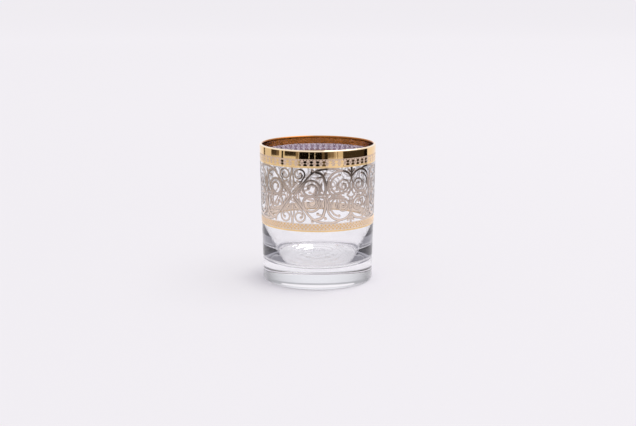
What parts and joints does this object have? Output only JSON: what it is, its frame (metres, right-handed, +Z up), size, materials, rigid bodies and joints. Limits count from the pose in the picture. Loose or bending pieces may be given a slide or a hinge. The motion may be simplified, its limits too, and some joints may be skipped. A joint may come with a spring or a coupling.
{
  "type": "drinking glass",
  "caption": "Straight heavy-based clear tumbler with gilded rim, etched gold borders and a band of silver scrollwork.",
  "frame": {"origin": "centre of the foot, on the plane that the glass stands on", "axes": "+Z up along the glass's axis, -Y towards the front of the picture, +X to its right"},
  "size_m": [0.0802, 0.0802, 0.0952],
  "materials": {
    "clear_glass": "fire-polished, clear",
    "bright_gold": "fired bright gold, burnished",
    "etched_gold": "fired gold on etched glass, matt",
    "silver_lustre": "fired silver lustre, satin"
  },
  "bodies": {
    "root": {"glass_body": "clear_glass", "rim_gilding": "bright_gold", "upper_gold_border": "etched_gold", "upper_gold_line": "bright_gold", "silver_scrollwork": "silver_lustre", "lower_gold_border": "etched_gold", "lower_gold_line": "bright_gold"}
  },
  "joints": []
}
